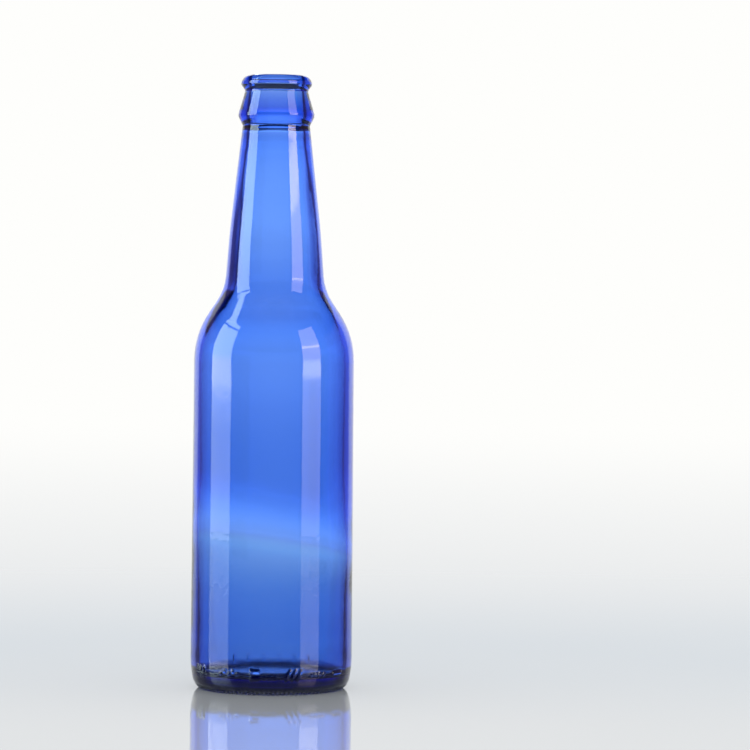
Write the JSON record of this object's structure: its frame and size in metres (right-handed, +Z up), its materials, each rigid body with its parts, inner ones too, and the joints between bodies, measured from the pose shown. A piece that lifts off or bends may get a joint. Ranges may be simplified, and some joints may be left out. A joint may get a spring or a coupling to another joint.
{
  "type": "beer bottle",
  "caption": "Empty long-neck beer bottle in clear blue glass: straight body, sloping shoulder, tapering neck, crown-cap mouth with a bead and lip, and a domed underside.",
  "frame": {"origin": "centre of the bearing ring, on the plane that the bottle stands on", "axes": "+Z up along the bottle's axis, from the foot to the mouth; X and Y lie in the standing plane, and the bottle is round about Z"},
  "size_m": [0.0604, 0.0604, 0.2289],
  "materials": {
    "blue_glass": "smooth transparent cobalt-tinted container glass, fire-polished, with a faint settle wave in the wall"
  },
  "bodies": {
    "root": {"bottle": "blue_glass"}
  },
  "joints": []
}
